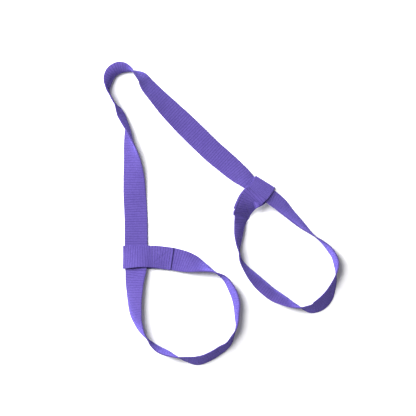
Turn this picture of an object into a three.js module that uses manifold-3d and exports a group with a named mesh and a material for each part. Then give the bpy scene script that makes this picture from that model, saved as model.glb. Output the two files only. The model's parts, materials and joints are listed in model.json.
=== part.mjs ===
// Stretching strap: one long band of flat webbing with an adjustable noose at each end.
// Each end of the webbing is folded over the strap and sewn down on itself, so it makes
// a small sliding loop. The strap lies on a table: millimetres, +Z up, table at z = 0.
// The origin is the middle of the laid-out strap's footprint.

import * as THREE from 'three';
import { mergeVertices } from 'three/addons/utils/BufferGeometryUtils.js';
import Module from 'manifold-3d';

const wasm = await Module();
wasm.setup();

// ---------- Driving dimensions ----------

const webbingWidth = 38;
const webbingThickness = 2.4;
const sleeveGap = 0.4;         // between the strap's faces and the loop around it
const foldInset = 0.5;         // the fold's centre lies this far inside the strap's edge
const legEdgeGap = 2;          // from the strap's other edge to the start of the sewn leg
const tackLength = 37;         // cut tail, lying on the leg that it is sewn to
const tailStep = 1.5;          // the lower layer runs on this far past the cut tail
const layerGap = 0.3;          // between the two sewn layers
const meetingGap = 0.3;        // between two nodes that meet end to end
const threadWidth = 1.2;
const threadDepth = 0.6;
const threadClearance = 0.3;
const threadInset = 0.1;       // the thread lies this far below the webbing's face
const tackSideMargin = 4.5;    // from the webbing's edges to the sewn box
const tackEndMargin = 4;       // from the ends of the cut tail's leg to the sewn box
const sweepStep = 7;           // length of one step of a swept stretch of webbing
const straightMargin = 6;      // straight strap past each side of a sliding loop
const straightRunOut = 10;     // straight webbing past the end of a sewn leg

// ---------- Where the two sliding loops sit, and how far they slide ----------

const rightHeading = THREE.MathUtils.degToRad(38); // the strap's fall across the table
const leftLoop = {
  name: 'left',
  centre: new THREE.Vector2(-140.5, -73),
  slide: new THREE.Vector2(0, 1),        // along the strap, away from the noose
  legDirection: new THREE.Vector2(1, 0), // from the fold towards the cut tail
  travel: 40,
  tilt: 0,                               // roll of the strap where it passes through
  legDrop: 0,                            // slope of the sewn leg below level
  strapAlongSlide: 1,                    // the strap's run goes the same way as slide
};
const rightLoop = {
  name: 'right',
  centre: new THREE.Vector2(60.5, 40),
  slide: new THREE.Vector2(-Math.cos(rightHeading), Math.sin(rightHeading)),
  legDirection: new THREE.Vector2(-Math.sin(rightHeading), -Math.cos(rightHeading)),
  travel: 28,
  tilt: 40,
  legDrop: 20,
  strapAlongSlide: -1,
};

// ---------- The strap's route, chosen by hand: x, y and roll in degrees ----------
// Roll 0 lies flat, roll 90 stands on its edge, and past 90 it leans outward.
// The route starts at the left cut tail and ends at the right cut tail.

const leftReturnRoute = [
  [-52, -79.4, 40], [-35.5, -84, 62], [-22.4, -90, 78], [-12, -95.5, 90], [4.6, -107, 101],
  [19, -127.4, 106], [25, -146, 104], [25.7, -164.6, 99], [25.2, -185.6, 90],
  [17.7, -200.7, 84], [9, -211.8, 77], [-2, -222.4, 71], [-20.8, -234.2, 67], [-38, -241, 66],
];
const leftRunRoute = [
  [-54.4, -238.8, 74], [-75, -234, 90], [-88.8, -228.5, 99], [-103.2, -222.3, 102],
  [-113.4, -214.6, 97], [-119.4, -208, 90], [-128, -195.7, 82], [-136.3, -177.7, 71],
  [-140.5, -161.3, 62], [-142, -144, 54], [-142.3, -124, 44], [-141.7, -110, 28],
];
const carryRoute = [
  [-141.7, 9, 5], [-143, 28.7, 12], [-144, 55, 25], [-145.6, 77.8, 38], [-149, 97.5, 46],
  [-153.5, 120.4, 65], [-158.4, 138.4, 88], [-164, 156.4, 104], [-170.7, 171, 100],
  [-178, 183.5, 92], [-185.4, 200.7, 91], [-188, 212, 95], [-186.6, 223.6, 104],
  [-180.5, 234, 113], [-168.5, 239.5, 121], [-158, 238.7, 110], [-148, 236.4, 97],
  [-140.4, 229.3, 80], [-131, 221, 61], [-121.7, 210, 53], [-110, 198, 46],
  [-92.5, 179.4, 35], [-76.8, 163, 26], [-52, 137.6, 15], [-16, 102.7, 16], [2, 85, 26],
];
const rightRunRoute = [
  [93, 16, 52], [109, 1.6, 62], [127.6, -16, 71], [150.4, -35.7, 88], [162, -44.4, 93],
  [171.8, -53, 98], [179.7, -62.7, 101], [185.4, -73, 101], [187.7, -84.4, 98],
  [187.5, -95.8, 90], [183.8, -111, 82], [179, -123.3, 75], [172.5, -137.6, 66],
  [163.3, -148, 62],
];
const rightReturnRoute = [
  [150, -154.6, 65], [139, -154.8, 76], [127.4, -153.2, 90], [112, -147.4, 103],
  [99.6, -141, 113], [83.2, -132, 121], [66.5, -118.4, 120], [51.3, -103, 112],
  [40.6, -91, 103], [31.4, -77, 94], [28, -64, 84], [20, -42, 56],
];

// ---------- Materials ----------

const strapMaterial = new THREE.MeshStandardMaterial({ color: 0x6450c8, roughness: 0.85, metalness: 0 });
const loopMaterial = new THREE.MeshStandardMaterial({ color: 0x5a45bd, roughness: 0.85, metalness: 0 });
const threadMaterial = new THREE.MeshStandardMaterial({ color: 0x4a36a8, roughness: 0.6, metalness: 0 });

// ---------- Heights and angles ----------

const halfWidth = webbingWidth / 2;
const halfThickness = webbingThickness / 2;
const layerRadius = halfThickness + sleeveGap;        // strap's middle to a layer's near face
const layerMiddle = layerRadius + halfThickness;      // strap's middle to a layer's middle
const loopRadius = layerRadius + webbingThickness;    // outside of the fold
const foldCentre = halfWidth - foldInset;

const radians = THREE.MathUtils.degToRad;

// Height of the middle line when the strap's lower edge rests on the table.
function restHeight(roll) {
  return halfWidth * Math.abs(Math.sin(roll)) + halfThickness * Math.abs(Math.cos(roll));
}

// Height of the strap's middle line inside a sliding loop whose fold rests on the table.
function passageHeight(loop) {
  return loopRadius + foldCentre * Math.sin(radians(loop.tilt));
}

// ---------- A smooth curve through values that never swings past them ----------

function steadyCurve(xs, ys) {
  const rises = xs.slice(1).map((x, i) => (ys[i + 1] - ys[i]) / (x - xs[i]));
  const slopes = xs.map((x, i) => {
    const before = rises[Math.max(i - 1, 0)];
    const after = rises[Math.min(i, rises.length - 1)];
    if (before * after <= 0) return 0;
    return 2 * before * after / (before + after);
  });
  return (x) => {
    let i = xs.findIndex((edge) => edge > x) - 1;
    if (i < -1) i = xs.length - 2;
    i = Math.max(i, 0);
    const span = xs[i + 1] - xs[i];
    const u = THREE.MathUtils.clamp((x - xs[i]) / span, 0, 1);
    const swing = u * u * (3 - 2 * u);
    return ys[i] + (ys[i + 1] - ys[i]) * swing
      + span * u * (1 - u) * (slopes[i] * (1 - u) - slopes[i + 1] * u);
  };
}

// ---------- The route as one curve: place, roll and height at any length along it ----------

// The strap stays straight and keeps its roll where a loop slides over it.
function passageStations(loop) {
  const back = webbingWidth / 2 + straightMargin;
  const ends = [-back, -back + 1, 0, back + loop.travel - 1, back + loop.travel];
  if (loop.strapAlongSlide < 0) ends.reverse();
  return ends.map((along) => {
    const place = loop.centre.clone().addScaledVector(loop.slide, along);
    return { place, roll: radians(loop.tilt), height: passageHeight(loop) };
  });
}

function routeStations(rows) {
  return rows.map(([x, y, degrees]) => {
    const roll = radians(degrees);
    return { place: new THREE.Vector2(x, y), roll, height: restHeight(roll) };
  });
}

// The noose goes on from the end of the sewn leg's lower layer, straight at first.
function legEndStations(loop) {
  return [0, straightRunOut - 1, straightRunOut].map((past) => {
    const end = legEnd(loop, layerMiddle, tackLength + tailStep + past);
    const place = loop.centre.clone().addScaledVector(loop.legDirection, end.x);
    return { place, roll: 0, height: passageHeight(loop) + end.y };
  });
}

function buildRoute() {
  const sections = [
    legEndStations(leftLoop), routeStations(leftReturnRoute), routeStations(leftRunRoute),
    passageStations(leftLoop), routeStations(carryRoute), passageStations(rightLoop),
    routeStations(rightRunRoute), routeStations(rightReturnRoute),
    legEndStations(rightLoop).reverse(),
  ];
  const stations = sections.flat();
  const plan = new THREE.CatmullRomCurve3(
    stations.map(({ place }) => new THREE.Vector3(place.x, place.y, 0)), false, 'centripetal');
  const finePerStation = 24;
  plan.arcLengthDivisions = (stations.length - 1) * finePerStation;
  const lengths = plan.getLengths();
  const marks = stations.map((station, i) => lengths[i * finePerStation]);
  const rollAt = steadyCurve(marks, stations.map(({ roll }) => roll));
  const liftAt = steadyCurve(marks, stations.map(({ roll, height }) => height - restHeight(roll)));
  let passed = 0;
  const sectionEnds = sections.map((section) => marks[(passed += section.length) - 1]);
  return { plan, rollAt, liftAt, sectionEnds, total: lengths[lengths.length - 1] };
}

// One stretch of the route, with the webbing's width and thickness directions along it.
class WebbingRun extends THREE.Curve {
  constructor(route, from, to) {
    super();
    this.route = route;
    this.from = from;
    this.to = to;
  }

  distance(t) {
    return this.from + t * (this.to - this.from);
  }

  placeAt(distance) {
    const within = THREE.MathUtils.clamp(distance, 0, this.route.total);
    const point = this.route.plan.getPointAt(within / this.route.total);
    point.z = restHeight(this.route.rollAt(within)) + this.route.liftAt(within);
    return point;
  }

  getPoint(t) {
    return this.placeAt(this.distance(t));
  }

  computeFrenetFrames(segments) {
    const frames = { tangents: [], normals: [], binormals: [] };
    const probe = 0.5;
    for (let i = 0; i <= segments; i += 1) {
      const distance = this.distance(this.getUtoTmapping(i / segments));
      const tangent = this.placeAt(distance + probe).sub(this.placeAt(distance - probe)).normalize();
      const roll = this.route.rollAt(distance);
      const right = new THREE.Vector3(tangent.y, -tangent.x, 0).normalize();
      const across = right.multiplyScalar(Math.cos(roll)).add(new THREE.Vector3(0, 0, Math.sin(roll)));
      across.addScaledVector(tangent, -across.dot(tangent)).normalize();
      frames.tangents.push(tangent);
      frames.normals.push(across);
      frames.binormals.push(tangent.clone().cross(across));
    }
    return frames;
  }
}

function webbingSection() {
  const section = new THREE.Shape();
  section.moveTo(-halfWidth, -halfThickness);
  section.lineTo(halfWidth, -halfThickness);
  section.lineTo(halfWidth, halfThickness);
  section.lineTo(-halfWidth, halfThickness);
  section.closePath();
  return section;
}

function webbingStretch(name, route, from, to) {
  const run = new WebbingRun(route, from + meetingGap / 2, to - meetingGap / 2);
  const steps = Math.ceil((to - from) / sweepStep);
  const geometry = new THREE.ExtrudeGeometry(webbingSection(), { steps, extrudePath: run });
  const mesh = new THREE.Mesh(geometry, strapMaterial);
  mesh.name = name;
  return mesh;
}

// ---------- The end loop, drawn in its own section plane ----------
// x runs from the fold towards the cut tail and y is up, from the strap's middle line.

function tilted(loop, x, y) {
  return new THREE.Vector2(x, y).rotateAround(new THREE.Vector2(), radians(loop.tilt));
}

// A point on the sewn leg: down from the strap's middle line, then along the leg.
function legEnd(loop, below, along, above = 0) {
  const knee = tilted(loop, halfWidth + legEdgeGap, -below);
  const slope = radians(-loop.legDrop);
  knee.x += along * Math.cos(slope) - above * Math.sin(slope);
  knee.y += along * Math.sin(slope) + above * Math.cos(slope);
  return knee;
}

function loopMiddleLine(loop) {
  const upperLift = webbingThickness + layerGap;
  const foldSteps = 8;
  const points = [
    legEnd(loop, layerMiddle, tackLength + tailStep),
    legEnd(loop, layerMiddle, 0),
  ];
  for (let i = 0; i <= foldSteps; i += 1) {
    const angle = -Math.PI / 2 - Math.PI * i / foldSteps;
    points.push(tilted(loop, -foldCentre + layerMiddle * Math.cos(angle), layerMiddle * Math.sin(angle)));
  }
  const settle = loop.tilt > 0 ? layerMiddle / 2 : layerMiddle * 2;
  points.push(tilted(loop, halfWidth + legEdgeGap / 2, layerMiddle));
  points.push(legEnd(loop, layerMiddle, settle, upperLift));
  points.push(legEnd(loop, layerMiddle, tackLength, upperLift));
  return points;
}

// A band of even thickness along a line, with mitred corners.
function bandOutline(points, thickness) {
  const sides = [[], []];
  points.forEach((point, i) => {
    const before = points[Math.max(i - 1, 0)];
    const after = points[Math.min(i + 1, points.length - 1)];
    const arriving = (i > 0 ? point.clone().sub(before) : after.clone().sub(point)).normalize();
    const leaving = (i < points.length - 1 ? after.clone().sub(point) : arriving.clone()).normalize();
    const along = arriving.clone().add(leaving).normalize();
    const reach = thickness / 2 / along.dot(arriving);
    const outward = new THREE.Vector2(-along.y, along.x);
    sides[0].push(point.clone().addScaledVector(outward, reach));
    sides[1].unshift(point.clone().addScaledVector(outward, -reach));
  });
  return new THREE.Shape([...sides[0], ...sides[1]]);
}

function loopPlacement(loop) {
  const along = new THREE.Vector3(loop.legDirection.x, loop.legDirection.y, 0);
  const up = new THREE.Vector3(0, 0, 1);
  const placement = new THREE.Matrix4().makeBasis(along, up, along.clone().cross(up));
  return placement.setPosition(loop.centre.x, loop.centre.y, passageHeight(loop));
}

function loopBand(loop) {
  const outline = bandOutline(loopMiddleLine(loop), webbingThickness);
  const band = new THREE.ExtrudeGeometry(outline, { depth: webbingWidth, bevelEnabled: false });
  band.translate(0, 0, -webbingWidth / 2);
  return band.applyMatrix4(loopPlacement(loop));
}

// ---------- Solids for cutting and joining ----------

function solidOf(geometry) {
  const plain = geometry.clone();
  plain.deleteAttribute('normal');
  plain.deleteAttribute('uv');
  const merged = mergeVertices(plain, 1e-4);
  return new wasm.Manifold(new wasm.Mesh({
    numProp: 3,
    vertProperties: new Float32Array(merged.attributes.position.array),
    triVerts: new Uint32Array(merged.index.array),
  }));
}

function geometryOf(solid) {
  const mesh = solid.getMesh();
  const geometry = new THREE.BufferGeometry();
  geometry.setAttribute('position', new THREE.BufferAttribute(mesh.vertProperties, 3));
  geometry.setIndex(new THREE.BufferAttribute(mesh.triVerts, 1));
  geometry.computeVertexNormals();
  return geometry;
}

// ---------- The sewn box with its cross, one layer of thread on each side ----------

function sewnBox(width, depth) {
  const length = tackLength - 2 * tackEndMargin;
  const across = webbingWidth - 2 * tackSideMargin;
  const block = (x, y, z, turn = 0) => solidOf(new THREE.BoxGeometry(x, y, z).rotateZ(turn));
  const rim = block(length + width, across + width, depth);
  const inside = block(length - width, across - width, 2 * depth);
  const diagonal = Math.hypot(length, across);
  const slant = Math.atan2(across, length);
  return rim.subtract(inside)
    .add(block(diagonal, width, depth, slant))
    .add(block(diagonal, width, depth, -slant));
}

// face is 1 for the needle thread on top and -1 for the bobbin thread underneath.
function threadLayer(loop, face, width, depth, inset) {
  const surface = face > 0 ? webbingThickness * 1.5 + layerGap : -halfThickness;
  const place = legEnd(loop, layerMiddle, tackLength / 2, surface - face * (inset + depth / 2));
  const lying = new THREE.Matrix4().makeTranslation(place.x, place.y, 0)
    .multiply(new THREE.Matrix4().makeRotationZ(radians(-loop.legDrop)))
    .multiply(new THREE.Matrix4().makeRotationX(-Math.PI / 2));
  return sewnBox(width, depth).transform(loopPlacement(loop).multiply(lying).elements);
}

function endLoopMeshes(loop) {
  const openEnd = 1;
  const grooveWidth = threadWidth + 2 * threadClearance;
  const grooveDepth = threadInset + threadDepth + threadClearance + openEnd;
  let band = solidOf(loopBand(loop));
  for (const face of [1, -1]) {
    band = band.subtract(threadLayer(loop, face, grooveWidth, grooveDepth, -openEnd));
  }
  const loopMesh = new THREE.Mesh(geometryOf(band), loopMaterial);
  loopMesh.name = `${loop.name}_end_loop`;
  const threads = [[1, 'needle_thread'], [-1, 'bobbin_thread']].map(([face, name]) => {
    const thread = threadLayer(loop, face, threadWidth, threadDepth, threadInset);
    const mesh = new THREE.Mesh(geometryOf(thread), threadMaterial);
    mesh.name = `${loop.name}_${name}`;
    return mesh;
  });
  return [loopMesh, ...threads];
}

// ---------- The whole strap ----------

const route = buildRoute();
const [, leftBottom, , leftPassageEnd, , rightPassageEnd, rightBottom] = route.sectionEnds;
const carryStart = leftPassageEnd - webbingWidth - leftLoop.travel - 1.5 * straightMargin;
const carryEnd = rightPassageEnd - straightMargin / 2;

const strap = new THREE.Group();
strap.add(
  webbingStretch('left_noose_return', route, meetingGap / 2, leftBottom),
  webbingStretch('left_noose_run', route, leftBottom, carryStart),
  webbingStretch('carry_strap', route, carryStart, carryEnd),
  webbingStretch('right_noose_run', route, carryEnd, rightBottom),
  webbingStretch('right_noose_return', route, rightBottom, route.total - meetingGap / 2),
);

for (const loop of [leftLoop, rightLoop]) {
  const slider = new THREE.Group();
  slider.add(...endLoopMeshes(loop));
  strap.add(slider);
}

export default strap;
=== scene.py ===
# %% [markdown]
# # A stretching strap
# One long band of ribbed cotton webbing, with a noose at each end. Each end of the band is
# folded over the strap and sewn down on itself, so it makes a small loop that slides along
# the strap. The whole thing lies loose on a table, seen from straight above.
#
# The lesson goes: load the measured frame, set the camera, draw the path of the webbing,
# model one small repeat of the weave, copy it along the path, sew it, colour it, light it,
# and join it to the bodies that move.

# %% Load the frame that the parts were measured in
import json
import math

import bpy
import numpy as np
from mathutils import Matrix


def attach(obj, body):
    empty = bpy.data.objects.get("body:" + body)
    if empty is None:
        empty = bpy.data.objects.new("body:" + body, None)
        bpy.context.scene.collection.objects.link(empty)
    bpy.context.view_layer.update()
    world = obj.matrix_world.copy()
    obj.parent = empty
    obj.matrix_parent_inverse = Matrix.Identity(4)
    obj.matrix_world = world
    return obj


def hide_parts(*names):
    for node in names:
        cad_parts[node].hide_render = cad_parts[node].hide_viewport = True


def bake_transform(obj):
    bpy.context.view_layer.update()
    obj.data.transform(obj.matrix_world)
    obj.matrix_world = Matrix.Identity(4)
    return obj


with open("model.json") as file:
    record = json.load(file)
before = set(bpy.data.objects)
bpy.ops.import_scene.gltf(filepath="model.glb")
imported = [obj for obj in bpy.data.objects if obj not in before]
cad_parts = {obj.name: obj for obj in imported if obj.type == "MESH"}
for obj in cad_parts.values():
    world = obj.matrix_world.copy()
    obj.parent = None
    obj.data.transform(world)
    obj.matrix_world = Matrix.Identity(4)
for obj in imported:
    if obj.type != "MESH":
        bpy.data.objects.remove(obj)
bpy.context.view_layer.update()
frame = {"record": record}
bodies = frame["record"]["behaviour"]["bodies"]
print("bodies:", {body: sorted(nodes) for body, nodes in bodies.items()})

MM = 0.001                      # sizes below are in metres, written as a count of millimetres

# %% [markdown]
# ## The camera
# The strap was laid on a table and looked at from above. A long lens far away keeps the
# standing walls of the webbing from leaning outwards near the edges of the view. A short
# lens would be easier to place, but it would show the inside of every wall on one side.

# %% Camera straight above the strap
VIEW_WIDTH = 681 * MM           # width of table that the view takes in
CAMERA_HEIGHT = 4.0
VIEW_DEPTH = 50
SENSOR = 36.0                   # the lens and the sensor are in millimetres
VIEW_MIDDLE = (-22.4 * MM, 9.0 * MM)
MEAN_HEIGHT = 15 * MM           # height at which the view has exactly that width


def clear_selection():
    """Every operator acts on what is selected, so nothing may be left selected."""
    bpy.ops.object.select_all(action="DESELECT")


clear_selection()
bpy.ops.object.camera_add(location=(*VIEW_MIDDLE, CAMERA_HEIGHT), rotation=(0, 0, 0))
camera = bpy.context.object
camera.name = "camera"
camera.data.sensor_width = SENSOR
camera.data.lens = SENSOR * (CAMERA_HEIGHT - MEAN_HEIGHT) / VIEW_WIDTH
camera.data.clip_end = VIEW_DEPTH
bpy.context.scene.camera = camera
print("lens:", round(camera.data.lens, 1), "mm")

# %% [markdown]
# ## The path of the webbing
# A strap is a flat band, so its path needs a place and a turn at every point. The turn is
# its roll: 0 lies flat, 90 stands on edge, and past 90 it leans outwards and shows its other
# face. The height follows from the roll, because the lower edge rests on the table. Soft
# webbing also curls across its width where it twists. Each stop below is x, y and roll, then
# a lift off the table and a curl where there is one.
#
# The path could be a Blender curve with a tilt at each point. Plain numbers are clearer here,
# because the two ends are folded hairpins, where a curve's own up direction flips over.

# %% Sizes of the webbing
WEBBING_WIDTH = 38 * MM
WEBBING_THICKNESS = 2.4 * MM
SLEEVE_GAP = 0.4 * MM           # between the strap and the sliding loop around it
LAYER_GAP = 0.3 * MM            # between the two sewn layers
HALF_WIDTH = WEBBING_WIDTH / 2
HALF_THICKNESS = WEBBING_THICKNESS / 2
LAYER_MIDDLE = WEBBING_THICKNESS + SLEEVE_GAP
SEWN_LIFT = WEBBING_THICKNESS + LAYER_GAP
print("webbing mm:", round(WEBBING_WIDTH / MM, 1), "x", round(WEBBING_THICKNESS / MM, 1))

# %% The stops along the strap, from the left cut tail to the right cut tail
LEFT_RETURN = [
    (-92, -73.2, 14), (-80, -74.6, 16), (-68, -77.2, 21), (-52, -81, 38, 0, 15),
    (-35.5, -86, 61, 0, 20), (-22, -91, 78), (-11.4, -95.8, 90), (5.2, -106, 101),
    (18.4, -127.4, 107), (24, -146, 105), (24.8, -164.6, 100), (24, -185.6, 91),
    (17.6, -201.2, 83), (11, -213.6, 76, 0, 10), (-1.2, -223.4, 70, 0, 25),
    (-20.4, -235, 67, 0, 25), (-38, -241, 66, 0, 20),
]
LEFT_RUN = [
    (-54.4, -238.8, 74), (-75, -234, 90), (-88.8, -228.5, 99), (-103.2, -222.3, 102),
    (-113.4, -214.6, 97), (-119.4, -208, 90), (-129.6, -195.7, 80, 0, 15),
    (-138.2, -177.7, 68, 0, 35), (-142.2, -161.3, 58, 0, 45), (-143.6, -144, 51, 0, 45),
    (-143.4, -124, 43, 0, 35), (-142.6, -107, 34, 1, 20),
]
LEFT_PASSAGE = [
    (-140.7, -93, 24, 3), (-140.3, -80, 11, 3), (-140.3, -66, 2, 3),
    (-140.4, -48, 0, 3), (-140.7, -12, 0, 2.6),
]
CARRY = [
    (-141.5, 9, 3), (-142.7, 28.7, 9), (-143.8, 55, 22), (-145.2, 77.8, 37, 0, -10),
    (-147.4, 97.5, 50, 0, -35), (-149.6, 112, 61, 0, -65), (-151.8, 125, 74, 0, -85),
    (-154.6, 139, 89, 0, -90),
    (-159, 152, 101, 0, -75), (-163.6, 162.5, 106, 0, -60), (-168.6, 171, 101, 0, -30),
    (-174.8, 180, 91), (-181.8, 191.5, 89), (-185.8, 202, 92, 0, -25), (-185.8, 211.2, 101, 0, -80),
    (-183.4, 221.6, 112, 0, -115), (-177.7, 231, 119, 0, -125), (-168, 236.6, 119, 0, -125),
    (-158, 237.6, 109, 0, -95), (-148.2, 235, 95, 0, -40), (-140.2, 229.8, 78),
    (-129.4, 221.4, 61), (-121.7, 210, 53), (-110.6, 197.4, 46), (-93.4, 178.6, 35),
    (-77.4, 162.5, 26), (-52, 137.6, 15), (-16, 102.7, 16), (5.4, 84.4, 21),
]
RIGHT_PASSAGE = [
    (30, 63, 35, 3.2), (43.4, 52, 49, 4.3), (60.4, 40.1, 52, 4.4), (78.4, 28.4, 51, 3.8),
]
RIGHT_RUN = [
    (93.5, 17.2, 53, 1), (109, 1.6, 62), (127.6, -16, 71), (150.4, -35.7, 88), (162, -44.4, 93),
    (171.8, -53, 98), (179.7, -62.7, 101), (185.4, -73, 101), (187.7, -84.4, 98),
    (187.5, -95.8, 90), (184.2, -111, 78), (179.8, -123.8, 69, 0, 15), (173.2, -137.6, 60, 0, 25),
    (163.6, -148, 56, 0, 25),
]
RIGHT_RETURN = [
    (150, -154.6, 62, 0, 15), (139, -154.8, 76), (127.4, -153.2, 91), (112.4, -146.7, 105, 0, -50),
    (100.5, -140, 114, 0, -90), (84.2, -130.7, 123, 0, -115), (67.5, -117.1, 123, 0, -115),
    (52, -102.2, 114, 0, -80), (41, -90.6, 104, 0, -30), (31.4, -77, 96), (28.5, -63, 92),
    (28, -51.6, 98, 0, -40), (29.2, -32, 110, 0, -100), (31.0, -20.5, 118, 0.5, -80),
    (32.6, -9.5, 126, 2, -30), (33.4, -2.2, 133, 3.5), (35, 5.4, 141, 8.5),
]
SECTIONS = [LEFT_RETURN, LEFT_RUN, LEFT_PASSAGE, CARRY, RIGHT_PASSAGE, RIGHT_RUN, RIGHT_RETURN]
print("stops along the strap:", sum(len(section) for section in SECTIONS))


# %% A smooth line through the stops
SAMPLES_PER_STOP = 40


def smooth_line(points):
    """A centripetal curve through the points, which never loops back at a tight corner.

    Only the first three numbers of a point are its place, so only they set the spacing."""
    points = np.asarray(points, float)
    first = 2 * points[0] - points[1]
    last = 2 * points[-1] - points[-2]
    knots = np.vstack([first, points, last])
    gaps = np.sqrt(np.linalg.norm(np.diff(knots[:, :3], axis=0), axis=1))
    u = np.linspace(0, 1, SAMPLES_PER_STOP, endpoint=False)[:, None]
    pieces = []
    for i in range(1, len(knots) - 2):
        p0, p1, p2, p3 = knots[i - 1:i + 3]
        d0, d1, d2 = gaps[i - 1:i + 2]
        m1 = d1 * ((p1 - p0) / d0 - (p2 - p0) / (d0 + d1) + (p2 - p1) / d1)
        m2 = d1 * ((p2 - p1) / d1 - (p3 - p1) / (d1 + d2) + (p3 - p2) / d2)
        pieces.append(
            (2 * u**3 - 3 * u**2 + 1) * p1 + (u**3 - 2 * u**2 + u) * m1
            + (3 * u**2 - 2 * u**3) * p2 + (u**3 - u**2) * m2
        )
    pieces.append(points[-1:])
    return np.vstack(pieces)


def steady_values(marks, values, wanted):
    """A smooth curve through the values that never swings past them."""
    rises = np.diff(values) / np.diff(marks)
    before, after = np.r_[rises[0], rises], np.r_[rises, rises[-1]]
    both = before * after
    slopes = np.where(both > 0, 2 * both / np.where(both > 0, before + after, 1), 0)
    i = np.clip(np.searchsorted(marks, wanted, side="right") - 1, 0, len(marks) - 2)
    span = marks[i + 1] - marks[i]
    u = np.clip((wanted - marks[i]) / span, 0, 1)
    return (
        values[i] + (values[i + 1] - values[i]) * u * u * (3 - 2 * u)
        + span * u * (1 - u) * (slopes[i] * (1 - u) - slopes[i + 1] * u)
    )


def lengths_along(points):
    """The distance from the first point to each point, along the line."""
    return np.r_[0, np.cumsum(np.linalg.norm(np.diff(points, axis=0), axis=1))]


def unit(vectors):
    return vectors / np.linalg.norm(vectors, axis=1, keepdims=True)


LEAST_CURL = 0.01               # in radians, below it the section counts as flat


def curled(across, out, curl):
    """Bend a flat section into an arc. A positive curl turns its two edges inwards."""
    tight = np.where(np.abs(curl) < LEAST_CURL, LEAST_CURL, curl)
    radius = WEBBING_WIDTH / tight
    angle = across / radius
    bent_across = (radius + out) * np.sin(angle)
    bent_out = (radius + out) * np.cos(angle) - radius * (1 + np.cos(tight / 2)) / 2
    return bent_across, bent_out


SECTION_STEPS = np.linspace(-HALF_WIDTH, HALF_WIDTH, 15)


def rest_height(roll, curl):
    """Height of the middle line when the lowest part of the section rests on the table."""
    lowest = 0
    for across in SECTION_STEPS:
        for face in (-HALF_THICKNESS, HALF_THICKNESS):
            y, z = curled(across, face, curl)
            lowest = np.minimum(lowest, y * np.sin(roll) + z * np.cos(roll))
    return -lowest


# %% A path of webbing
class Path:
    """Where the webbing is, which way is across it, and which way is out of its face."""

    def __init__(self, places, across, curl=None):
        self.places = places
        self.curl = np.zeros(len(places)) if curl is None else curl
        self.marks = lengths_along(places)
        along = unit(np.gradient(places, self.marks, axis=0))
        across = across - np.sum(across * along, axis=1, keepdims=True) * along
        self.across = unit(across)
        self.out = np.cross(self.across, along)
        self.length = self.marks[-1]

    def at(self, values, distance):
        """The x, y and z of a value at a distance along the path."""
        axes = [np.interp(distance, self.marks, values[:, axis]) for axis in range(3)]
        return np.stack(axes, axis=-1)


def strap_path(sections):
    """The whole strap between its two sewn legs, and the distance at which each section ends."""
    stops = [stop + (0,) * (5 - len(stop)) for section in sections for stop in section]
    stops = np.array(stops, float)
    plan = smooth_line(stops[:, :2] * MM)
    marks = lengths_along(plan)
    stop_marks = marks[::SAMPLES_PER_STOP]
    roll = steady_values(stop_marks, np.radians(stops[:, 2]), marks)
    lift = steady_values(stop_marks, stops[:, 3] * MM, marks)
    curl = steady_values(stop_marks, np.radians(stops[:, 4]), marks)
    places = np.column_stack([plan, rest_height(roll, curl) + lift])
    heading = unit(np.gradient(plan, marks, axis=0))
    right = np.column_stack([heading[:, 1], -heading[:, 0]])
    across = np.column_stack([right * np.cos(roll)[:, None], np.sin(roll)])
    path = Path(places, across, curl)
    counts = np.cumsum([len(section) for section in sections])
    ends = [path.marks[(count - 1) * SAMPLES_PER_STOP] for count in counts]
    return path, ends


strap, section_ends = strap_path(SECTIONS)
LEFT_BOTTOM, RIGHT_BOTTOM = section_ends[0], section_ends[5]      # of the two nooses
print("strap between its sewn legs:", round(strap.length, 3), "m")

# %% [markdown]
# ## One repeat of the weave
# The webbing is woven with thick weft cords inside, so both faces show ribs across the
# strap, and every second groove is a little deeper. A bump map alone would leave the edges
# of the strap dead straight, so the ribs are real shape here: one short block with two ribs
# is modelled from a cube, and the rest of the strap is copies of it.

# %% Model the block with two ribs
REPEAT = 4.06 * MM              # two ribs
RINGS = 8                       # cross sections in one repeat
SELVEDGE = 2.6 * MM             # tight woven edge on each side
EDGE_ROUND = 0.75 * MM
THIN_AT_RING = [0.72, 0.94, 1.0, 0.97, 0.88, 0.97, 1.0, 0.94, 0.72]
NARROW_AT_RING = [0.988, 0.997, 1.0, 0.997, 0.992, 0.997, 1.0, 0.997, 0.988]
SELVEDGE_THIN = 0.9
SELVEDGE_FROM = 0.96            # the outermost part of the half width is pressed thinner


def pick(block, kind, test):
    """In edit mode, select only the corners, edges or faces of the block that pass the test."""
    bpy.ops.mesh.select_mode(type=kind)
    bpy.ops.mesh.select_all(action="DESELECT")
    bpy.ops.object.mode_set(mode="OBJECT")
    mesh = block.data
    for item in {"VERT": mesh.vertices, "EDGE": mesh.edges, "FACE": mesh.polygons}[kind]:
        item.select = test(item)
    bpy.ops.object.mode_set(mode="EDIT")


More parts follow.
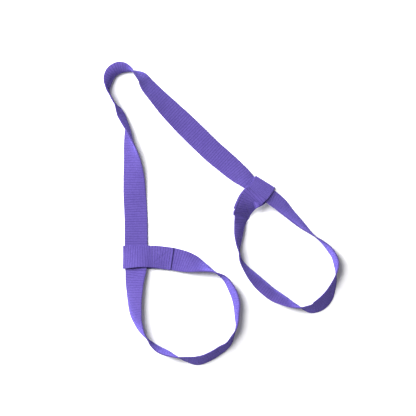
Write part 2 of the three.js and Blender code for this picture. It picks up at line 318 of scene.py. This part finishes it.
def model_repeat(rows):
    """A block of webbing with two ribs, open at both ends, and so many rows across it."""
    clear_selection()
    bpy.ops.mesh.primitive_cube_add(size=1, location=(REPEAT / 2, 0, 0))
    block = bpy.context.object
    block.scale = (REPEAT, WEBBING_WIDTH, WEBBING_THICKNESS)
    bpy.ops.object.transform_apply(location=True, rotation=False, scale=True)

    def lengthwise(edge):
        first, second = (block.data.vertices[i].co for i in edge.vertices)
        return abs(first.x - second.x) > REPEAT / 2

    bpy.ops.object.mode_set(mode="EDIT")
    pick(block, "FACE", lambda face: abs(face.normal.x) > 0.9)
    bpy.ops.mesh.delete(type="ONLY_FACE")
    pick(block, "EDGE", lengthwise)
    bpy.ops.mesh.bevel(offset=EDGE_ROUND, segments=2)
    bpy.ops.mesh.select_mode(type="VERT")
    inner = HALF_WIDTH - SELVEDGE
    cuts = [-inner, *np.linspace(-inner, inner, rows + 1)[1:-1], inner]
    for y in cuts:
        bpy.ops.mesh.select_all(action="SELECT")
        bpy.ops.mesh.bisect(plane_co=(0, y, 0), plane_no=(0, 1, 0))
    for ring in range(1, RINGS):
        bpy.ops.mesh.select_all(action="SELECT")
        bpy.ops.mesh.bisect(plane_co=(REPEAT * ring / RINGS, 0, 0), plane_no=(1, 0, 0))
    near = REPEAT / RINGS / 10
    for ring in range(RINGS + 1):
        pick(block, "VERT", lambda corner: abs(corner.co.x - REPEAT * ring / RINGS) < near)
        size = (1, NARROW_AT_RING[ring], THIN_AT_RING[ring])
        bpy.ops.transform.resize(value=size, center_override=(0, 0, 0))
    pick(block, "VERT", lambda corner: abs(corner.co.y) > HALF_WIDTH * SELVEDGE_FROM)
    bpy.ops.transform.resize(value=(1, 1, SELVEDGE_THIN), center_override=(0, 0, 0))
    bpy.ops.mesh.select_all(action="SELECT")
    bpy.ops.mesh.normals_make_consistent(inside=False)
    bpy.ops.object.mode_set(mode="OBJECT")
    return block


# %% Bend a straight strip onto a path
def bend_onto(mesh, path, start, stretch, shape=None):
    """Move a straight strip onto the path. x becomes the distance along it."""
    flat = np.empty(len(mesh.vertices) * 3)
    mesh.vertices.foreach_get("co", flat)
    flat = flat.reshape(-1, 3)
    distance = start + flat[:, 0] * stretch
    out = flat[:, 2].copy()
    if shape is not None:
        out = shape(distance, flat[:, 1], out)
    across, out = curled(flat[:, 1], out, np.interp(distance, path.marks, path.curl))
    bent = (
        path.at(path.places, distance)
        + path.at(path.across, distance) * across[:, None]
        + path.at(path.out, distance) * out[:, None]
    )
    mesh.vertices.foreach_set("co", bent.ravel())
    mesh.update()
    return flat


# %% Copy the block along a path
WEAVE_UV = "weave"
SMOOTH_ANGLE = math.radians(50)


def select_only(piece):
    clear_selection()
    piece.select_set(True)
    bpy.context.view_layer.objects.active = piece


def repeat_along(piece, count, pitch, merge_within=0.0):
    """Copy a piece along x. Copies that meet are merged when a distance is given."""
    array = piece.modifiers.new("repeat", "ARRAY")
    array.count = count
    array.use_relative_offset = False
    array.use_constant_offset = True
    array.constant_offset_displace = (pitch, 0, 0)
    array.use_merge_vertices = merge_within > 0
    if merge_within:
        array.merge_threshold = merge_within
    select_only(piece)
    bpy.ops.object.modifier_apply(modifier=array.name)


def cap_ends(strip):
    """Close the two open ends of a strip with a face each."""
    bpy.ops.object.mode_set(mode="EDIT")
    bpy.ops.mesh.select_mode(type="EDGE")
    bpy.ops.mesh.select_all(action="DESELECT")
    bpy.ops.mesh.select_non_manifold()
    bpy.ops.mesh.edge_face_add()
    bpy.ops.mesh.select_mode(type="VERT")
    bpy.ops.object.mode_set(mode="OBJECT")


def write_weave(mesh, flat):
    """Keep one UV map: repeats along the strap, and millimetres across it."""
    weave = mesh.uv_layers.get(WEAVE_UV) or mesh.uv_layers.new(name=WEAVE_UV)
    corners = np.empty(len(mesh.loops), int)
    mesh.loops.foreach_get("vertex_index", corners)
    weave_uv = np.column_stack([flat[corners, 0] / REPEAT, flat[corners, 1] / MM])
    weave.data.foreach_set("uv", weave_uv.ravel())
    for spare in [layer for layer in mesh.uv_layers if layer.name != WEAVE_UV]:
        mesh.uv_layers.remove(spare)
    mesh.uv_layers[WEAVE_UV].active = True
    mesh.uv_layers[WEAVE_UV].active_render = True


def open_edges(mesh):
    """How many edges don't have a face on each side."""
    edge_uses = np.empty(len(mesh.loops), int)
    mesh.loops.foreach_get("edge_index", edge_uses)
    return int(np.sum(np.bincount(edge_uses, minlength=len(mesh.edges)) != 2))


def lay_webbing(name, path, start, end, rows, shape=None):
    """A closed strip of ribbed webbing along a path, with its weave written to a UV map."""
    strip = model_repeat(rows)
    strip.name = strip.data.name = name
    repeats = max(1, round((end - start) / REPEAT))
    stretch = (end - start) / (repeats * REPEAT)
    repeat_along(strip, repeats, REPEAT, REPEAT / RINGS / 20)
    cap_ends(strip)
    write_weave(strip.data, bend_onto(strip.data, path, start, stretch, shape))
    select_only(strip)
    bpy.ops.object.shade_smooth_by_angle(angle=SMOOTH_ANGLE)
    print(name, "repeats:", repeats, "faces:", len(strip.data.polygons),
          "open edges:", open_edges(strip.data), "length mm:", round((end - start) / MM))
    return strip


# %% [markdown]
# ## The strap itself
# From the bottom of the left noose, up through the left sliding loop, round the far bend,
# down through the right sliding loop and to the bottom of the right noose, the webbing
# stays put while the loops slide. So it is one piece. Worn webbing is never a perfect
# band: it bows across its width where it turns, and it waves a little along its edges.

# %% How the band bows and waves
def soft_step(x, low, high):
    """0 below low, 1 above high, and a smooth rise between them."""
    u = np.clip((x - low) / (high - low), 0, 1)
    return u * u * (3 - 2 * u)


WAVES = [                       # height, length and phase
    (0.43 * MM, 61 * MM, 0.3), (0.31 * MM, 37 * MM, 1.9), (0.22 * MM, 23 * MM, 4.1),
]
BOW_SHARE = 0.35                # how much of a wave bows the middle of the band
EDGE_SHARE = 0.3                # and how much of it rocks the two edges
CALM_ENDS = 12 * MM
CALM_FADE = 25 * MM
CALM_STRETCHES = [              # inside the loops and at the sewn legs
    (0, CALM_ENDS), (section_ends[1], section_ends[2]),
    (section_ends[3], section_ends[4]), (strap.length - CALM_ENDS, strap.length),
]


def relaxed(distance, across, out):
    """A shallow bow across the band, changing along it, and a slow wave of its edges."""
    wave = sum(
        size * np.sin(2 * np.pi * distance / length + phase) for size, length, phase in WAVES)
    for low, high in CALM_STRETCHES:
        entering = soft_step(distance, low - CALM_FADE, low)
        leaving = soft_step(distance, high, high + CALM_FADE)
        wave = wave * (1 - entering * (1 - leaving))
    side = across / HALF_WIDTH
    return out + wave * (BOW_SHARE * (1 - side**2) + EDGE_SHARE * side)


# %% Lay the three stretches of the strap
STRAP_ROWS = 12
strap_webbing, left_return, right_return = (
    lay_webbing(name, strap, start, end, STRAP_ROWS, relaxed) for name, start, end in (
        ("strap_webbing", LEFT_BOTTOM, RIGHT_BOTTOM),
        ("left_noose_webbing", 0, LEFT_BOTTOM),
        ("right_noose_webbing", RIGHT_BOTTOM, strap.length),
    )
)

# %% [markdown]
# ## The sliding loops
# Each end of the webbing goes under the strap, folds back over its far edge and is sewn to
# itself. The fold is tight, about one thickness of webbing inside. The left loop lies nearly
# flat. In the right one the strap stands on its edge, and lifts the loop into a steep arch.

# %% The path of an end loop, from its cut tail round the fold to the end of the lower layer
FOLD_STOPS = 7


def loop_path(upper, fold, lower):
    """Stops are x, y and height of the middle line, plan heading across the band, and roll."""
    stops = np.array(upper + fold + lower, float)
    heading, roll = np.radians(stops[:, 3]), np.radians(stops[:, 4])
    across = np.column_stack(
        [np.cos(roll) * np.cos(heading), np.cos(roll) * np.sin(heading), np.sin(roll)])
    line = smooth_line(np.column_stack([stops[:, :3] * MM, across]))
    return Path(line[:, :3], unit(line[:, 3:]))


def fold_stops(middle, toward, heading, tilt, roll):
    """Half a turn about the fold, from its top to its underside. toward points to the tail."""
    stops = []
    for i in range(1, FOLD_STOPS + 1):
        angle = math.radians(90 + 180 * i / (FOLD_STOPS + 1) + tilt)
        reach, rise = LAYER_MIDDLE / MM * math.cos(angle), LAYER_MIDDLE / MM * math.sin(angle)
        turn = roll * (1 - i / (FOLD_STOPS + 1))
        stops.append((middle[0] + toward[0] * reach, middle[1] + toward[1] * reach,
                      middle[2] + rise, heading, turn))
    return stops


def below(stops, gap):
    """The lower layer of the sewn leg: the same stops, one layer further in."""
    moved = []
    for x, y, z, heading, roll in stops:
        h, r = math.radians(heading), math.radians(roll)
        moved.append((x + gap * math.sin(r) * math.cos(h), y + gap * math.sin(r) * math.sin(h),
                      z - gap * math.cos(r), heading, roll))
    return moved


LEFT_LEG = [
    (-81.2, -74.2, 9.4, -90, 16), (-92, -72.9, 8.8, -90, 14), (-104, -71.3, 9.6, -90, 17),
    (-116, -70.6, 11.2, -90, 21),
]
LEFT_OVER = [
    (-125, -70.5, 14.0, -90, 25), (-138, -70.7, 14.6, -90, 25), (-151, -71.3, 11.2, -90, 16),
]
LEFT_UNDER = [(-150, -71.8, 1.4, -90, 0), (-130, -71.8, 1.4, -90, 0), (-119, -71.8, 2, -90, 2)]
left_fold = fold_stops((-158.1, -71.8, 4.25), (1, 0), -90, 0, 8)
LEFT_GAP = SEWN_LIFT / MM + 0.35        # in mm, from one sewn layer to the other
left_loop = loop_path(
    LEFT_LEG + LEFT_OVER, left_fold, LEFT_UNDER + below(LEFT_LEG[::-1][1:3], LEFT_GAP))

RIGHT_LEG = [
    (32.5, -2.6, 20.2, 0, -42), (36.1, 5.2, 24.0, -6, -35), (41.7, 15.5, 29.6, -16, -24),
    (47.8, 24.3, 35.0, -27, -9),
]
RIGHT_OVER = [
    (54.8, 30.7, 37.6, -32, 0), (60.2, 35.3, 31.0, -32, 0), (64.2, 40.6, 22.6, -32, 0),
    (67.8, 46.0, 13.8, -32, 0),
]
RIGHT_UNDER = [(66.2, 43.3, 6.6, -32, 0), (60.6, 35.1, 17.2, -32, 0), (54.8, 27.2, 28.0, -31, 0)]
right_fold = fold_stops((69.9, 49.0, 5.0), (-0.53, -0.848), -32, 52, 0)
RIGHT_GAP = 1.2 * LEFT_GAP              # the steep arch holds its layers further apart
right_loop = loop_path(
    RIGHT_LEG + RIGHT_OVER, right_fold, RIGHT_UNDER + below(RIGHT_LEG[::-1][0:3], RIGHT_GAP))
print("round the loops:", round(left_loop.length / MM), "and", round(right_loop.length / MM), "mm")

# %% [markdown]
# ## How the seam pulls the webbing in
# A tight row of stitches sinks into soft webbing. A bump in the material could draw the lines,
# but then the mesh itself would be smooth, so the outer face is pressed in along them.

# %% Where the sewn box lies, and how deep it sinks
SEWN_BOX = 29 * MM              # both ways
SEWN_MIDDLE = 18.5 * MM         # from the cut tail to the middle of the box
SEAM_DIP = 0.5 * MM
SEAM_SPREAD = 1.1 * MM
LEFT_OUTSIDE, RIGHT_OUTSIDE = -1, 1     # which way each loop's outer face looks along its path
HALF_BOX = SEWN_BOX / 2


def seam_distance(along, across):
    """Distance to the nearest sewn line: a square with its two diagonals."""
    u, v = np.abs(along - SEWN_MIDDLE), np.abs(across)
    edge = np.minimum(np.hypot(u - HALF_BOX, np.maximum(v - HALF_BOX, 0)),
                      np.hypot(v - HALF_BOX, np.maximum(u - HALF_BOX, 0)))
    cross = np.hypot((u - v) / math.sqrt(2), np.maximum((u + v) / 2 - HALF_BOX, 0))
    return np.minimum(edge, cross)


def sewn_down(outside):
    """A shape for lay_webbing: the outer face dips along the sewn lines."""
    def shape(distance, across, out):
        dip = SEAM_DIP * np.exp(-(seam_distance(distance, across) / SEAM_SPREAD) ** 2)
        return np.where(out * outside > 0, out - outside * dip, out)
    return shape


# %% Lay the two loops
LOOP_ROWS = 36                  # more than the strap has, so that the sewn lines are sharp
left_end, right_end = (
    lay_webbing(name, path, 0, path.length, LOOP_ROWS, sewn_down(outside))
    for name, path, outside in (
        ("left_loop_webbing", left_loop, LEFT_OUTSIDE),
        ("right_loop_webbing", right_loop, RIGHT_OUTSIDE),
    )
)

# %% [markdown]
# ## The stitches
# Each loop is closed by a sewn box with a cross. One stitch is modelled and repeated along
# each line, and the six lines are joined. The needle thread shows on the outside and the
# bobbin thread underneath. They sit deep in the soft webbing, so only their backs show.

# %% Model one stitch and repeat it along the lines of the box
STITCH_PITCH = 2.9 * MM
STITCH_LENGTH = 2.3 * MM
THREAD = 0.62 * MM


def stitch_row(length, turn):
    """A straight row of stitches through the middle of the box."""
    count = round(length / STITCH_PITCH)
    clear_selection()
    bpy.ops.mesh.primitive_uv_sphere_add(
        segments=6, ring_count=4, radius=0.5, rotation=(0, math.pi / 2, 0))
    row = bpy.context.object
    bpy.ops.object.transform_apply(location=False, rotation=True, scale=False)
    row.scale = (STITCH_LENGTH, THREAD, THREAD)
    row.location = (-length / 2 + length / count / 2, 0, 0)
    bpy.ops.object.transform_apply(location=True, rotation=False, scale=True)
    repeat_along(row, count, length / count)
    row.rotation_euler = (0, 0, turn)
    bpy.ops.object.transform_apply(location=False, rotation=True, scale=False)
    return row


def sewn_box(name, path, height):
    """The whole box with its cross, laid on a loop at a height off its middle line."""
    diagonal = SEWN_BOX * math.sqrt(2) - 2 * STITCH_PITCH
    rows = []
    for side in (-1, 1):
        for turn, place in ((0, (0, side * HALF_BOX, 0)), (math.pi / 2, (side * HALF_BOX, 0, 0))):
            row = stitch_row(SEWN_BOX, turn)
            row.location = place
            rows.append(row)
        rows.append(stitch_row(diagonal, side * math.pi / 4))
    clear_selection()
    for row in rows:
        row.select_set(True)
    bpy.context.view_layer.objects.active = rows[0]
    bpy.ops.object.transform_apply(location=True, rotation=False, scale=False)
    bpy.ops.object.join()
    box = bpy.context.object
    box.name = box.data.name = name
    for vertex in box.data.vertices:
        vertex.co.z += height
    bend_onto(box.data, path, SEWN_MIDDLE, 1)
    bpy.ops.object.shade_smooth()
    print(name, "faces:", len(box.data.polygons))
    return box


# %% Sew both loops
NEEDLE_SINK = 0.42 * MM         # the outer face dips under the needle thread
BOBBIN_SINK = 0.1 * MM
NEEDLE_HEIGHT = HALF_THICKNESS - NEEDLE_SINK
BOBBIN_HEIGHT = -(SEWN_LIFT + HALF_THICKNESS - BOBBIN_SINK)
left_needle = sewn_box("left_needle_stitches", left_loop, LEFT_OUTSIDE * NEEDLE_HEIGHT)
left_bobbin = sewn_box("left_bobbin_stitches", left_loop, LEFT_OUTSIDE * BOBBIN_HEIGHT)
right_needle = sewn_box("right_needle_stitches", right_loop, RIGHT_OUTSIDE * NEEDLE_HEIGHT)
right_bobbin = sewn_box("right_bobbin_stitches", right_loop, RIGHT_OUTSIDE * BOBBIN_HEIGHT)

# %% [markdown]
# ## The colour and cloth of the webbing
# Dyed cotton webbing is a mid purple with no shine: light catches the tops of the ribs and
# sinks into the grooves, and that shade is also painted into the colour as darker grooves.
# The pattern reads the weave UV, so it follows every twist.

# %% Short calls for building a material
class Nodes:
    """Short calls for building a node tree."""

    def __init__(self, name):
        self.material = bpy.data.materials.new(name)
        self.material.use_nodes = True
        self.tree = self.material.node_tree
        self.shader = self.tree.nodes["Principled BSDF"]

    def add(self, kind, **settings):
        node = self.tree.nodes.new(kind)
        for key, value in settings.items():
            setattr(node, key, value)
        return node

    def join(self, source, target):
        self.tree.links.new(source, target)

    def math(self, operation, first, second=None, third=None):
        node = self.add("ShaderNodeMath", operation=operation)
        for socket, value in zip(node.inputs, (first, second, third)):
            if value is None:
                continue
            if isinstance(value, (int, float)):
                socket.default_value = value
            else:
                self.join(value, socket)
        return node.outputs[0]

    def blend(self, amount, first, second):
        node = self.add("ShaderNodeMix", data_type="RGBA")
        sockets = (node.inputs[0], node.inputs[6], node.inputs[7])
        for socket, value in zip(sockets, (amount, first, second)):
            if isinstance(value, (int, float, tuple)):
                socket.default_value = value
            else:
                self.join(value, socket)
        return node.outputs[2]

    def noise(self, scale, detail, coordinates):
        node = self.add("ShaderNodeTexNoise")
        node.inputs["Scale"].default_value = scale
        node.inputs["Detail"].default_value = detail
        self.join(coordinates, node.inputs["Vector"])
        return node.outputs["Fac"]

    def finish(self, values):
        """Set plain values on the shader, each under the name of its socket."""
        for socket, value in values.items():
            self.shader.inputs[socket].default_value = value

    def bump(self, height, strength, distance):
        node = self.add("ShaderNodeBump")
        node.inputs["Strength"].default_value = strength
        node.inputs["Distance"].default_value = distance
        self.join(height, node.inputs["Height"])
        self.join(node.outputs[0], self.shader.inputs["Normal"])


def give_finish(material, pieces):
    for piece in pieces:
        piece.data.materials.clear()
        piece.data.materials.append(material)
    print(material.name, "on:", [piece.name for piece in pieces])


# %% Webbing material
PURPLE = (0.091, 0.062, 0.285, 1)
# dark purple for the random mottling and yarn, and for the painted shade in the grooves
PURPLE_MOTTLE_AND_SHADE = (0.024, 0.013, 0.100, 1)
PURPLE_WORN = (0.145, 0.108, 0.380, 1)
FUZZ_TINT = (0.26, 0.20, 0.95, 1)
PATCH_SCALE, GRAIN_SCALE, YARN_SCALE = 38, 420, 900
# the last share sets how strongly the painted shade darkens the grooves
WORN_SHARE, GRAIN_SHARE, YARN_SHARE, GROOVE_SHADE_SHARE = 0.6, 0.3, 0.6, 0.8
GRAIN_CONTRAST = 3.0
DEEP_GROOVE_SHADE = 0.42              # how much darker the painted shade is in every second groove than in the next
GROOVE_SHADE_POWER = 2.0              # narrows the painted shade in the grooves between the ribs
WARP_PITCH = 1.15               # across the band, in mm
WARP_HEIGHT, YARN_HEIGHT = 0.5, 1.3
WEAVE_BUMP, WEAVE_DEPTH = 0.6, 0.25 * MM


def webbing_material():
    made = Nodes("purple_webbing")
    weave = made.add("ShaderNodeUVMap", uv_map=WEAVE_UV).outputs[0]
    parts = made.add("ShaderNodeSeparateXYZ")
    made.join(weave, parts.inputs[0])
    along, across = parts.outputs[0], parts.outputs[1]
    place = made.add("ShaderNodeTexCoord").outputs["Object"]
    turn = 2 * math.pi
    # Painted shade: the colour is darkened in the grooves between the ribs, and more in every
    # second groove, where light would sink in.
    deep_shade_wave = made.math("COSINE", made.math("MULTIPLY", along, turn))
    both = made.math("COSINE", made.math("MULTIPLY", along, 2 * turn))
    groove_shade = made.math("MULTIPLY_ADD", both, 0.5, 0.5)
    deeper_shade = made.math("MULTIPLY_ADD", deep_shade_wave, DEEP_GROOVE_SHADE, 1 - DEEP_GROOVE_SHADE)
    shade = made.math("MULTIPLY", made.math("POWER", groove_shade, GROOVE_SHADE_POWER), deeper_shade)
    patches = made.noise(PATCH_SCALE, 4, place)
    mottling = made.noise(GRAIN_SCALE, 4, place)
    grain = made.math("MULTIPLY_ADD", mottling, GRAIN_CONTRAST, (1 - GRAIN_CONTRAST) / 2)
    yarn = made.noise(YARN_SCALE, 3, place)
    cloth = made.blend(made.math("MULTIPLY", patches, WORN_SHARE), PURPLE, PURPLE_WORN)
    # grain and yarn are random tone; the last blend is the painted shade in the grooves
    for amount, share in ((grain, GRAIN_SHARE), (yarn, YARN_SHARE), (shade, GROOVE_SHADE_SHARE)):
        cloth = made.blend(made.math("MULTIPLY", amount, share), cloth, PURPLE_MOTTLE_AND_SHADE)
    made.join(cloth, made.shader.inputs["Base Color"])
    made.finish({
        "Roughness": 0.92, "Specular IOR Level": 0.25,
        "Sheen Weight": 0.6, "Sheen Roughness": 0.45, "Sheen Tint": FUZZ_TINT,
    })
    warp = made.math("SINE", made.math("MULTIPLY", across, turn / WARP_PITCH))
    height = made.math("ADD", made.math("MULTIPLY", warp, WARP_HEIGHT),
                       made.math("MULTIPLY", yarn, YARN_HEIGHT))
    made.bump(height, WEAVE_BUMP, WEAVE_DEPTH)
    return made.material


give_finish(webbing_material(), (strap_webbing, left_return, right_return, left_end, right_end))

# %% [markdown]
# ## The sewing thread
# The seams are sewn with thread of the same purple, a little darker than the webbing. Its
# twist is much finer than the ribs, so a fine noise stands for its fibres. A wound strand
# for every stitch could be modelled, but it would never be seen at this size.

# %% Thread material
THREAD_DARK = (0.045, 0.026, 0.170, 1)
THREAD_LIGHT = (0.085, 0.056, 0.280, 1)
FIBRE_SCALE = 2600
FIBRE_BUMP, FIBRE_DEPTH = 0.4, 0.1 * MM


def thread_material():
    made = Nodes("purple_thread")
    place = made.add("ShaderNodeTexCoord").outputs["Object"]
    fibres = made.noise(FIBRE_SCALE, 2, place)
    made.join(made.blend(fibres, THREAD_DARK, THREAD_LIGHT), made.shader.inputs["Base Color"])
    made.finish({"Roughness": 0.55, "Sheen Weight": 0.2})
    made.bump(fibres, FIBRE_BUMP, FIBRE_DEPTH)
    return made.material


give_finish(thread_material(), (left_needle, left_bobbin, right_needle, right_bobbin))

# %% [markdown]
# ## The table and the light
# A plain white table that glows a little, a large soft light high up on the left, and a
# weaker one lower down on the same side, like a window. An even pale sky fills the shadows.
# One light alone would do, but its shadows would be all hard or all soft.

# %% Table
TABLE_SIZE = 6.0
TABLE_GLOW = 0.05
TABLE_BELOW = 0.3 * MM          # so that the strap's underside never flickers against it
clear_selection()
bpy.ops.mesh.primitive_plane_add(size=TABLE_SIZE, location=(0, 0, -TABLE_BELOW))
table = bpy.context.object
table.name = "table"
white_table = Nodes("white_table")
white_table.finish({
    "Base Color": (0.9, 0.9, 0.9, 1), "Roughness": 0.9,
    "Emission Color": (1, 1, 1, 1), "Emission Strength": TABLE_GLOW,
})
give_finish(white_table.material, [table])


# %% Light
SKY_STRENGTH = 0.2


def area_light(name, place, size, watts):
    """A round lamp that shines at the middle of the table."""
    clear_selection()
    bpy.ops.object.light_add(type="AREA", location=place)
    lamp = bpy.context.object
    lamp.name = name
    lamp.data.shape = "DISK"
    lamp.data.size = size
    lamp.data.energy = watts
    aim = -np.array(place)
    lamp.rotation_euler = (
        math.acos(-aim[2] / np.linalg.norm(aim)), 0, math.atan2(aim[1], aim[0]) - math.pi / 2)
    print(name, "light:", watts, "W,", size, "m across")


area_light("overhead", place=(-1.1, 0.8, 4.2), size=1.5, watts=200)
area_light("window", place=(-1.5, 0.85, 1.8), size=1.3, watts=110)
sky = bpy.data.worlds.new("sky")
bpy.context.scene.world = sky
sky.use_nodes = True
background = sky.node_tree.nodes["Background"]
background.inputs["Color"].default_value = (1, 1, 1, 1)
background.inputs["Strength"].default_value = SKY_STRENGTH
bpy.context.scene.view_settings.view_transform = "Standard"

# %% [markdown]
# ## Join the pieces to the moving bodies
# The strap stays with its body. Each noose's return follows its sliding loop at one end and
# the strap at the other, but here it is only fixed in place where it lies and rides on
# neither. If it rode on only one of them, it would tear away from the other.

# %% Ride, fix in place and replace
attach(strap_webbing, "strap")
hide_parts("carry_strap", "left_noose_run", "right_noose_run")
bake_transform(left_return)
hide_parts("left_noose_return")
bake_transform(right_return)
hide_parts("right_noose_return")
for piece, slider, node, slot in (
    (left_end, "left_slider", "left_end_loop", "end_loop_webbing"),
    (right_end, "right_slider", "right_end_loop", "end_loop_webbing"),
    (left_needle, "left_slider", "left_needle_thread", "sewing_thread"),
    (left_bobbin, "left_slider", "left_bobbin_thread", "sewing_thread"),
    (right_needle, "right_slider", "right_needle_thread", "sewing_thread"),
    (right_bobbin, "right_slider", "right_bobbin_thread", "sewing_thread"),
):
    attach(piece, slider)
    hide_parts(node)


# %% [markdown]
# ## What is limp
# The band is limp and lies loose. For each stretch of it the line that its middle follows is
# worked out, and nothing more is done with it. The two loops are sewn and keep their shape,
# so no line is worked out for them.

def declare_cord(start, end):
    steps = max(2, round((end - start) / (2 * MM)))
    route = strap.at(strap.places, np.linspace(start, end, steps + 1))


declare_cord(LEFT_BOTTOM, RIGHT_BOTTOM)
declare_cord(0, LEFT_BOTTOM)
declare_cord(RIGHT_BOTTOM, strap.length)
